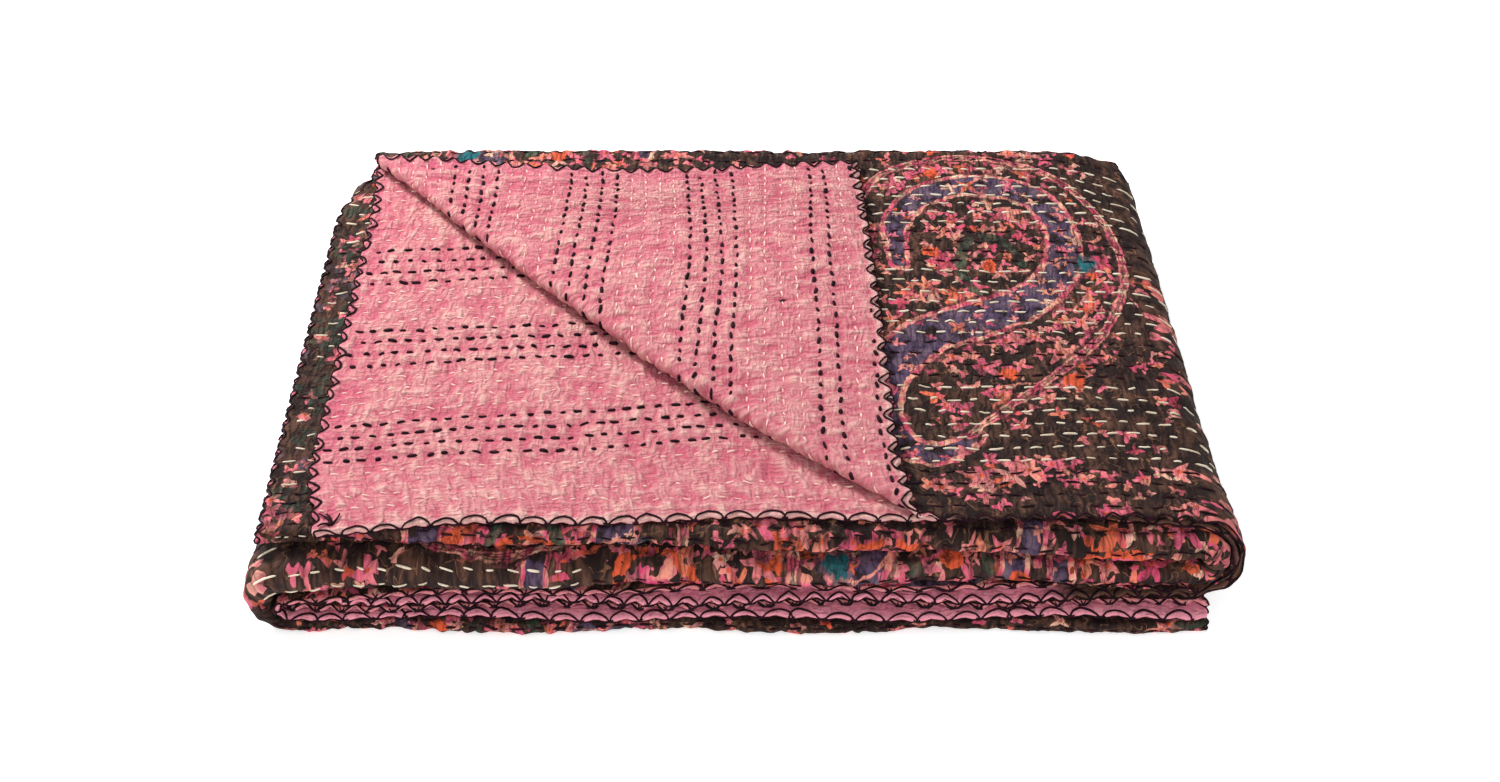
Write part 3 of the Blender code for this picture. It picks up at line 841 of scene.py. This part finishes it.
# the print's large motifs: a hooked paisley, the rim round it, what fills it, and arches at the fold.
# Each arc is its middle, its size, and its first and last angle
paisley = {
    "bands": [
        (0.605, 0.380), (0.608, 0.455), (0.645, 0.505), (0.710, 0.522), (0.768, 0.500), (0.792, 0.440),
        (0.782, 0.375), (0.745, 0.325), (0.690, 0.295), (0.625, 0.262), (0.580, 0.205), (0.570, 0.145),
        (0.592, 0.100), (0.628, 0.092), (0.662, 0.116)],
    "bandSwell": (
        -0.006, -0.001, 0.001, 0.002, 0.003, 0.003, 0.004, 0.007, 0.010, 0.011, 0.009, 0.006, 0.001,
        -0.003, -0.009),
    "middle": (0.690, 0.365), "rimSize": (0.158, 0.212),
    "rims": [
        (0.556, 0.470), (0.600, 0.545), (0.690, 0.576), (0.785, 0.548), (0.842, 0.465), (0.850, 0.365),
        (0.815, 0.275), (0.755, 0.208), (0.700, 0.160), (0.655, 0.118)],
    "crescents": [((0.706, 0.376), (0.034, 0.054), (232.0, 8.0))],
    "sprays": [
        ((0.706, 0.376), (0.062, 0.088), (165.0, 20.0)), ((0.652, 0.330), (0.026, 0.020), (200.0, 10.0)),
        ((0.795, 0.315), (0.016, 0.022), (0.0, 360.0)), ((0.740, 0.553), (0.090, 0.020), (160.0, 15.0)),
        ((0.660, 0.190), (0.040, 0.050), (120.0, -60.0)), ((0.830, 0.150), (0.030, 0.060), (80.0, -70.0)),
        ((0.690, 0.035), (0.100, 0.022), (170.0, 20.0)), ((0.855, 0.270), (0.012, 0.100), (90.0, -90.0))],
    "stems": [
        ((0.800, 0.350), (0.045, 0.045), (80.0, 215.0)), ((0.820, 0.440), (0.016, 0.017), (0.0, 360.0)),
        ((0.560, 0.500), (0.030, 0.060), (70.0, 190.0)), ((0.720, 0.160), (0.050, 0.030), (10.0, 130.0))],
    "flowers": [
        (0.704, 0.379), (0.703, 0.203), (0.769, 0.195), (0.640, 0.400), (0.655, 0.545), (0.905, 0.330)],
    "stars": [(0.812, 0.383)], "dot": (0.0005, 0.0005),
    "repeatU": 0.455, "repeatV": 0.640, "stagger": 0.20,
    "foldStrips": (0.155, 0.321, 0.700, 1.10, 1.55),
    "stripRun": ((-0.006, -0.07), (0.004, 0.0), (0.014, 0.07)), "stripWidth": 1.35,
    "arches": [
        (0.580, 1.217), (0.785, 1.217), (1.080, 1.233), (1.290, 1.233), (1.438, 1.235), (0.250, 1.217)],
    "archSize": (0.038, 0.022), "archReach": 3.0,
    "reach": 0.06, "rimFade": (1.15, 0.3), "sprayReach": 0.026, "edgeReach": 0.1,
}


def smoothStroke(points, steps=8):
    # a curve through a few points, each stretch rounded by its neighbours
    points = [np.array(p) for p in points]
    points = [2 * points[0] - points[1], *points, 2 * points[-1] - points[-2]]
    curve = []
    for a, b, c, d in zip(points, points[1:], points[2:], points[3:]):
        for t in np.linspace(0.0, 1.0, steps, endpoint=False):
            curve.append(0.5 * (2 * b + (c - a) * t + (2 * a - 5 * b + 4 * c - d) * t * t
                                + (3 * b - a - 3 * c + d) * t ** 3))
    return np.array([*curve, points[-2]])


def arcStroke(middle, size, turn, steps):
    angles = np.radians(np.linspace(*turn, steps))
    return np.stack([middle[0] + size[0] * np.cos(angles), middle[1] + size[1] * np.sin(angles)], axis=1)


def distanceTo(stroke, flat, extra=None):
    # how far each point of the flat cloth is from a stroke, up to a reach; extra widens the stroke
    reach, extra = paisley["reach"], np.zeros(len(stroke)) if extra is None else extra
    distance = np.full(len(flat), reach)
    low, high = stroke.min(axis=0) - reach, stroke.max(axis=0) + reach
    near = np.flatnonzero(((flat > low) & (flat < high)).all(axis=1))
    spot = flat[near]
    for start, end, wide, wider in zip(stroke[:-1], stroke[1:], extra[:-1], extra[1:]):
        run = end - start
        share = np.clip((spot - start) @ run / (run @ run), 0.0, 1.0)
        gap = np.linalg.norm(spot - start - share[:, None] * run, axis=1) - lerp(wide, wider, share)
        distance[near] = np.minimum(distance[near], np.maximum(gap, 0.0))
    return distance


hems = {  # the raw front edges, as starts and spans: where they roll under, and where they lie low
    "rolledFrom": (0.60, 0.03), "rolledTo": (1.04, 0.04), "rolledDepth": (0.030, 0.006),
    "lowFrom": (0.95, 0.05), "lowDepth": (0.040, 0.015),
}
crowds = {  # where leaves crowd and how much: at the front, on the fold and, less, on the right roll
    "frontV": (0.08, 0.03), "frontU": (0.62, 0.05), "foldV": (0.05, 0.02), "foldU": (0.42, 0.08),
    "foldEnd": (1.48, 0.05), "roll": 0.05, "rollFront": 0.14, "onFront": 0.3, "onFold": 0.9, "onRoll": -0.9,
}


def risen(value, edge):
    return ease((value - edge[0]) / edge[1])


def fallen(value, edge):
    return ease((edge[0] - value) / edge[1])


def fromHem(flat):
    return np.minimum(flat[:, 1], clothWidth - flat[:, 1])


def hemRolled(flat):
    # where the front edge of the top layer rolls under, from the turned corner to past the right roll
    u = flat[:, 0]
    along = risen(u, hems["rolledFrom"]) * (1.0 - risen(u, hems["rolledTo"]))
    return along * fallen(fromHem(flat), hems["rolledDepth"])


def paintedLightOnLowHems(flat):
    # painted light: the raw edges of the layers under the top ones are coloured a brighter, more saturated
    # pink where they lie in shade
    return risen(flat[:, 0], hems["lowFrom"]) * fallen(fromHem(flat), hems["lowDepth"])


def crowding(u, v):
    c = crowds
    onRoll = ease((u - upperLength + c["roll"]) / c["roll"]) * (v < topLength) * ease(v / c["rollFront"])
    onFront = fallen(v, c["frontV"]) * risen(u, c["frontU"])
    onFold = fallen(abs(v - foldMiddle), c["foldV"]) * risen(u, c["foldU"]) * fallen(u, c["foldEnd"])
    return c["onRoll"] * onRoll + c["onFront"] * onFront + c["onFold"] * onFold


def keepAttributes(cloth, fields):
    for name, values in fields.items():
        layer = cloth.data.attributes.new(name, "FLOAT", "POINT")
        layer.data.foreach_set("value", values.astype(np.float32))


def printMotifs(cloth, flat):
    # how far each point of the cloth is from each kind of motif, kept as attributes for the material
    p, flat = paisley, flat[:, :2]
    origin = np.array(p["middle"])
    motifs = {name: [smoothStroke(p[name + "s"])] for name in ("band", "rim")}
    for name, count in (("crescent", 14), ("spray", 12), ("stem", 14)):
        motifs[name] = [arcStroke(*arc, count) for arc in p[name + "s"]]
    for name in ("flower", "star"):
        motifs[name] = [arcStroke(middle, p["dot"], (0.0, 90.0), 2) for middle in p[name + "s"]]
    steps = np.linspace(0, len(p["bandSwell"]) - 1, len(motifs["band"][0]))
    swell = {"band": np.interp(steps, np.arange(len(p["bandSwell"])), p["bandSwell"])}
    fields = {name: np.full(len(flat), p["reach"]) for name in motifs}
    inRim = np.zeros(len(flat))
    for column in range(-1, 5):
        for row in range(4):
            mirror = np.array([-1.0 if (column + row) % 2 else 1.0, 1.0])
            shift = np.array([column * p["repeatU"], row * p["repeatV"] + p["stagger"] * (column % 2)])
            for name, strokes in motifs.items():
                for stroke in strokes:
                    placed = (stroke - origin) * mirror + origin + shift
                    fields[name] = np.minimum(fields[name], distanceTo(placed, flat, swell.get(name)))
            fromMiddle = (((flat - origin - shift) / np.array(p["rimSize"])) ** 2).sum(axis=1)
            inRim = np.maximum(inRim, fallen(fromMiddle, p["rimFade"]))
    for u in p["foldStrips"]:
        strip = np.array([(u, foldMiddle)]) + np.array(p["stripRun"])
        fields["band"] = np.minimum(fields["band"], distanceTo(strip, flat) * p["stripWidth"])
    fields["arch"] = np.full(len(flat), p["archReach"])
    for middle in p["arches"]:
        away = np.linalg.norm((flat - np.array(middle)) / np.array(p["archSize"]), axis=1)
        fields["arch"] = np.minimum(fields["arch"], away)
    fields["fill"] = inRim + crowding(flat[:, 0], flat[:, 1])
    fields["spray"] = ease(1.0 - fields["spray"] / p["sprayReach"])
    fields["fromEnd"] = np.minimum(np.minimum(flat[:, 0], clothLength - flat[:, 0]), p["edgeReach"])
    fields["fromHem"] = np.minimum(fromHem(flat) + p["edgeReach"] * hemRolled(flat), p["edgeReach"])
    keepAttributes(cloth, fields)


printMotifs(printedCloth, printedFlat)
keepAttributes(pinkCloth, {
    "fromEnd": pinkFlat[:, 0], "fromHem": fromHem(pinkFlat),
    "rolledHem": hemRolled(pinkFlat), "lowHem": paintedLightOnLowHems(pinkFlat),
})
printedCloth.data.materials.append(printedCotton())
pinkCloth.data.materials.append(pinkCotton())
print("printed and dyed")


def layThread(name, laid, radius, material):
    # one six-sided mesh of many separate strands, laid in groups: the points and the widths of each strand
    bpy.ops.object.select_all(action="DESELECT")
    curve = bpy.data.curves.new(name, "CURVE")
    curve.dimensions, curve.bevel_depth, curve.bevel_resolution = "3D", radius, 1
    curve.use_fill_caps = True
    strands, widths = [np.concatenate(groups) for groups in zip(*laid)]
    strands[:, :, 2] = np.maximum(strands[:, :, 2], radius)  # none goes into the floor
    for strand, width in zip(strands, widths):
        spline = curve.splines.new("POLY")
        spline.points.add(len(strand) - 1)
        spline.points.foreach_set("co", np.column_stack([strand, np.ones(len(strand))]).ravel())
        spline.points.foreach_set("radius", width)
    thread = bpy.data.objects.new(name, curve)
    bpy.context.collection.objects.link(thread)
    thread.select_set(True)
    bpy.context.view_layer.objects.active = thread
    bpy.ops.object.convert(target="MESH")
    thread = bpy.context.object
    bpy.ops.object.shade_smooth()
    thread.data.materials.append(material)
    print(name, "sewn,", len(strands), "strands,", len(thread.data.polygons), "faces")
    return thread


stitchKinds = {  # the side that each kind lies on, its radius and its length
    "dark_stitches_on_pink": (-1, 0.00200, 0.0074), "pale_stitches_on_pink": (-1, 0.00100, 0.0062),
    "cream_stitches_on_print": (1, 0.00115, 0.0108), "dark_stitches_on_print": (1, 0.00115, 0.0108),
}
stitching = {
    "uneven": 0.42, "stray": 0.0020, "wander": 0.0009, "tilt": 0.0011, "sunk": -0.0006, "raised": 0.0004,
    "fromEdge": 0.010, "unevenWidth": 0.24, "places": (-1.0, -0.7, 0.0, 0.7, 1.0),
    "rises": (0.0, 0.75, 1.0, 0.75, 0.0), "widths": (0.50, 0.90, 1.0, 0.90, 0.50),
}


def rowLine(u, row, far):
    # v of a row of stitching that is counted from the front edge or, far, from the facing one
    wanted = quilting["firstRow"] + quilting["rowPitch"] * row
    v = np.where(far, clothWidth - wanted, wanted)
    for _ in range(5):
        v = v + np.where(far, -1.0, 1.0) * (wanted - rowPosition(u, v))
    return v


def runningStitches(rows, far, side, length, shown):
    # the stitches of some rows that show on one face, each of five points
    t, pitch = stitching, quilting["pinkPitch"] if side < 0 else quilting["printPitch"]
    row, number = [grid.ravel() for grid in np.meshgrid(rows, np.arange(1, int(clothLength / pitch)))]
    chance = dice.random((5, len(row))) * 2.0 - 1.0
    u = (number - quilting["rowShift"] * row % 1.0) * pitch + t["stray"] * chance[0]
    v = rowLine(u, row, far) + t["wander"] * chance[4]
    kept = shown(u, v) & (nearRawEdge(u, v) > t["fromEdge"])
    u, v, chance = u[kept], v[kept], chance[:, kept]
    half = length / 2 * (1.0 + t["uneven"] * chance[1])
    places, rises = np.array(t["places"]), np.array(t["rises"])
    alongU = (u[:, None] + half[:, None] * places).ravel()
    alongV = (v[:, None] + t["tilt"] * chance[2][:, None] * places).ravel()
    lift = np.tile(lerp(t["sunk"], t["raised"], rises), len(u))
    points = clothFace(alongU, alongV, side, lift)[0].reshape(-1, len(places), 3)
    return points, (1.0 + t["unevenWidth"] * chance[3])[:, None] * np.array(t["widths"])


def rowsWhere(rule, last, wanted=True):
    return np.array([row for row in range(last) if rule(row) == wanted])


def sewRows():
    r = reaches
    topRows, halfRows = [int(depth / quilting["rowPitch"]) for depth in (topLength, clothWidth / 2)]

    def darkOnFacing(row):
        return 4 < row < 25 and (row + 3) % 8 < 4

    def darkOnFlap(row):
        return row in (0, 2, 3) or row > 7 and row % 8 < 4

    def creamOnPrint(row):
        return (row - 4) % 11 < 7

    def paleOnFacing(row):
        return not darkOnFacing(row) and row not in (0, 3)

    def printShows(u, v):
        behind = (v > topLength) & (v < startOfV["fourth"] + r["behind"])
        rightRoll = (u > upperLength) & (u < startOfU["middle"]) & (v < startOfV["fourth"])
        leftRoll = (u > startOfU["left roll"]) & (u < startOfU["lower"])
        leftRoll = leftRoll & (v > topLength) & (v < foldMiddle)
        strip = (u < r["sewnStrip"]) & (v > startOfV["fourth"]) & (v < startOfV["inner roll"])
        return topPrintShows(u, v) | behind | rightRoll | leftRoll | strip

    def bulgeShows(u, v):
        return (u > r["bulge"][0]) & (u < r["bulge"][1]) & (abs(v - foldMiddle) < r["sewnFold"])

    def foldShows(u, v):
        return (abs(v - foldMiddle) < r["darkFold"]) & ~bulgeShows(u, v)

    cream, between = [rowsWhere(creamOnPrint, halfRows, wanted) for wanted in (True, False)]
    groups = {  # rows, whether they are counted from the facing edge, and where they show
        "dark_stitches_on_pink": [
            (rowsWhere(darkOnFacing, topRows), True, facingShows),
            (rowsWhere(darkOnFlap, topRows), False, flapShows)],
        "pale_stitches_on_pink": [
            (rowsWhere(paleOnFacing, topRows), True, facingShows),
            (rowsWhere(darkOnFlap, topRows, False), False, flapShows)],
        "cream_stitches_on_print": [
            (cream, False, printShows), (cream, True, printShows),
            (np.array([69.9, 70.5]), True, bulgeShows)],
        "dark_stitches_on_print": [
            (between, False, printShows), (between, True, printShows),
            (np.arange(67, 71), False, foldShows), (np.arange(66, 71), True, foldShows)],
    }
    sewn = []
    for name, (side, radius, length) in stitchKinds.items():
        laid = [runningStitches(rows, far, side, length, shown) for rows, far, shown in groups[name]]
        sewn.append(layThread(name, laid, radius, threads[name.split("_")[0]]))
    return sewn


overcast = {
    "radius": 0.00112, "wrap": 0.0028, "runOver": 1.20, "pointsEach": 13,
    "reachOnPrint": 0.0023, "uneven": 0.40, "lean": 0.28,
    "unevenPoint": 0.3, "unevenWidth": 0.12, "taper": 0.35,
    "inside": 0.004, "pressed": 0.7, "fromCorner": 0.001,
}
looseEnds = {  # at the front left corner: where the knot is, and each end's direction and length
    "knot": (0.0180, 0.0120), "knotSize": 0.0028, "turns": 2, "lobes": 3, "knotWidth": 1.3,
    "knotRise": (0.0006, 0.0012), "radius": 0.0012, "curl": 0.5, "rise": (0.0008, 0.0030), "thinning": 0.4,
    "ends": ((20.0, 0.015), (75.0, 0.014), (100.0, 0.018), (170.0, 0.012)),
}
rawEdges = {  # each raw edge: its length, and its stitches' pitch, reach on the pink and pointedness
    "front": (clothLength, edging["frontPitch"], 0.0068, 1.15),
    "facing": (clothLength, edging["facingPitch"], 0.0060, 1.6),
    "top end": (clothWidth, edging["endPitch"], 0.0075, 1.2),
    "lower end": (clothWidth, edging["endPitch"], 0.0075, 1.2),
}


def atRawEdge(edge, along, inward):
    return {"front": (along, inward), "facing": (along, clothWidth - inward),
            "top end": (inward, along), "lower end": (clothLength - inward, along)}[edge]


def roundEdge(edge, along, across, radius):
    # a thread's place on a raw edge: across is how far in on the pink face, or below 0 on the printed one
    rim = clothMiddle(*atRawEdge(edge, along, 0.0 * across)) + centring
    inside = clothMiddle(*atRawEdge(edge, along, 0.0 * across + overcast["inside"])) + centring
    outwards = (rim - inside) / np.linalg.norm(rim - inside, axis=1, keepdims=True)
    u, v = atRawEdge(edge, along, abs(across))
    pink, printed = [clothFace(u, v, side, overcast["pressed"] * radius)[0] for side in (-1, 1)]
    turn = np.clip(across / overcast["wrap"], -1.0, 1.0) * pi / 2
    face, middle = np.where((across > 0)[:, None], pink, printed), (pink + printed) / 2
    onFace, onRim = abs(np.sin(turn))[:, None], np.cos(turn)[:, None]
    return lerp(middle, face, onFace) + outwards * onRim * radius


def overcastEdge(edge):
    # two strands a stitch, which cross where it draws the edge in: one over each face
    o, (length, pitch, reachOnPink, point) = overcast, rawEdges[edge]
    count = int(length / pitch)
    chance = dice.random((5, count)) * 2.0 - 1.0
    share = np.linspace(-1.0, 1.0, o["pointsEach"])
    strands, widths = [], []
    for reach in (reachOnPink, -o["reachOnPrint"]):
        spread = o["runOver"] * share
        lean = o["lean"] * chance[3][:, None] * (1.0 - share ** 2)
        along = (np.arange(count)[:, None] + 0.5 + spread / 2 + lean) * pitch
        sharp = point + o["unevenPoint"] * chance[1][:, None]
        rise = 1.0 - abs(spread) ** sharp
        across = reach * (1.0 + o["uneven"] * chance[2][:, None]) * rise
        along = np.clip(along, o["fromCorner"], length - o["fromCorner"])
        places = roundEdge(edge, along.ravel(), across.ravel(), o["radius"])
        strands.append(places.reshape(count, -1, 3))
        taper = 1.0 - o["taper"] * abs(share) ** 4
        widths.append((1.0 + o["unevenWidth"] * chance[4])[:, None] * taper)
    return np.concatenate(strands), np.concatenate(widths)


def knottedEnds():
    # a knot of a few turns, and the cut ends that stand out from it
    k, share = looseEnds, np.linspace(0.0, 1.0, overcast["pointsEach"])
    u, v = k["knot"][0], clothWidth - k["knot"][1]
    turn = 2 * pi * k["turns"] * share
    ball = k["knotSize"] * (0.5 + 0.3 * np.cos(k["lobes"] * turn))
    lift = k["knotRise"][0] + k["knotRise"][1] * share
    strands = [clothFace(u + ball * np.cos(turn), v + ball * np.sin(turn), -1, lift)[0]]
    widths = [k["knotWidth"] + 0.0 * share]
    for angle, length in k["ends"]:
        run, bend = length * share, radians(angle) + k["curl"] * share
        lift = k["rise"][0] + k["rise"][1] * share * (1.0 - 0.6 * share)
        strands.append(clothFace(u + run * np.cos(bend), v - run * np.sin(bend), -1, lift)[0])
        widths.append(1.0 - k["thinning"] * share ** 3)
    return np.array(strands), np.array(widths) * (k["radius"] / overcast["radius"])


threads = {
    "dark": threadMaterial("dark maroon thread", tint(20, 6, 12), tint(46, 14, 26)),
    "pale": threadMaterial("pale pink thread", tint(238, 186, 176), tint(250, 214, 200)),
    "cream": threadMaterial("cream thread", tint(214, 196, 170), tint(240, 228, 206)),
}
sewing = sewRows()
hemming = [*(overcastEdge(edge) for edge in rawEdges), knottedEnds()]
sewing.append(layThread("overcast_edges", hemming, overcast["radius"], threads["dark"]))

for cloth in (printedCloth, pinkCloth):
    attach(cloth, "root")
    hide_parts("quilt")
for thread in sewing:
    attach(thread, "root")

studio = {
    "target": (0.0063, -0.0423, 0.06), "distance": 1.943, "elevation": 44.5, "lens": 43.2, "sensor": 36.0,
    "floorSize": 60.0, "floorZ": -0.0004, "world": 0.63, "lit": (0.0, 0.0, 0.05),
    "lights": [  # name, place, size and power
        ("back left soft box", (-1.6, 1.6, 1.75), 0.55, 96.0),
        ("front soft box", (0.5, -2.2, 1.2), 2.2, 16.0),
    ],
}


def makeStudio():
    bpy.ops.object.select_all(action="DESELECT")
    bpy.ops.mesh.primitive_plane_add(size=studio["floorSize"], location=(0, 0, studio["floorZ"]))
    floor = bpy.context.object
    floor.name = "floor"
    floor.data.materials.append(floorMaterial())
    for name, place, size, power in studio["lights"]:
        bpy.ops.object.light_add(type="AREA", location=place)
        light = bpy.context.object
        light.name = name
        light.data.shape, light.data.size, light.data.energy = "SQUARE", size, power
        aim = Vector(studio["lit"]) - Vector(place)
        light.rotation_euler = aim.to_track_quat("-Z", "Y").to_euler()
    world = bpy.context.scene.world = bpy.data.worlds.new("white room")
    world.use_nodes = True
    sockets = world.node_tree.nodes["Background"].inputs
    sockets["Color"].default_value = (1.0, 1.0, 1.0, 1.0)
    sockets["Strength"].default_value = studio["world"]
    bpy.context.scene.view_settings.view_transform = "Standard"

    rise, target = radians(studio["elevation"]), Vector(studio["target"])
    place = target + Vector((0.0, -cos(rise), sin(rise))) * studio["distance"]
    bpy.ops.object.camera_add(location=place)
    camera = bpy.context.object
    camera.rotation_euler = (target - place).to_track_quat("-Z", "Y").to_euler()
    camera.data.lens, camera.data.sensor_width = studio["lens"], studio["sensor"]
    bpy.context.scene.camera = camera
    print("studio lit, camera set")


makeStudio()
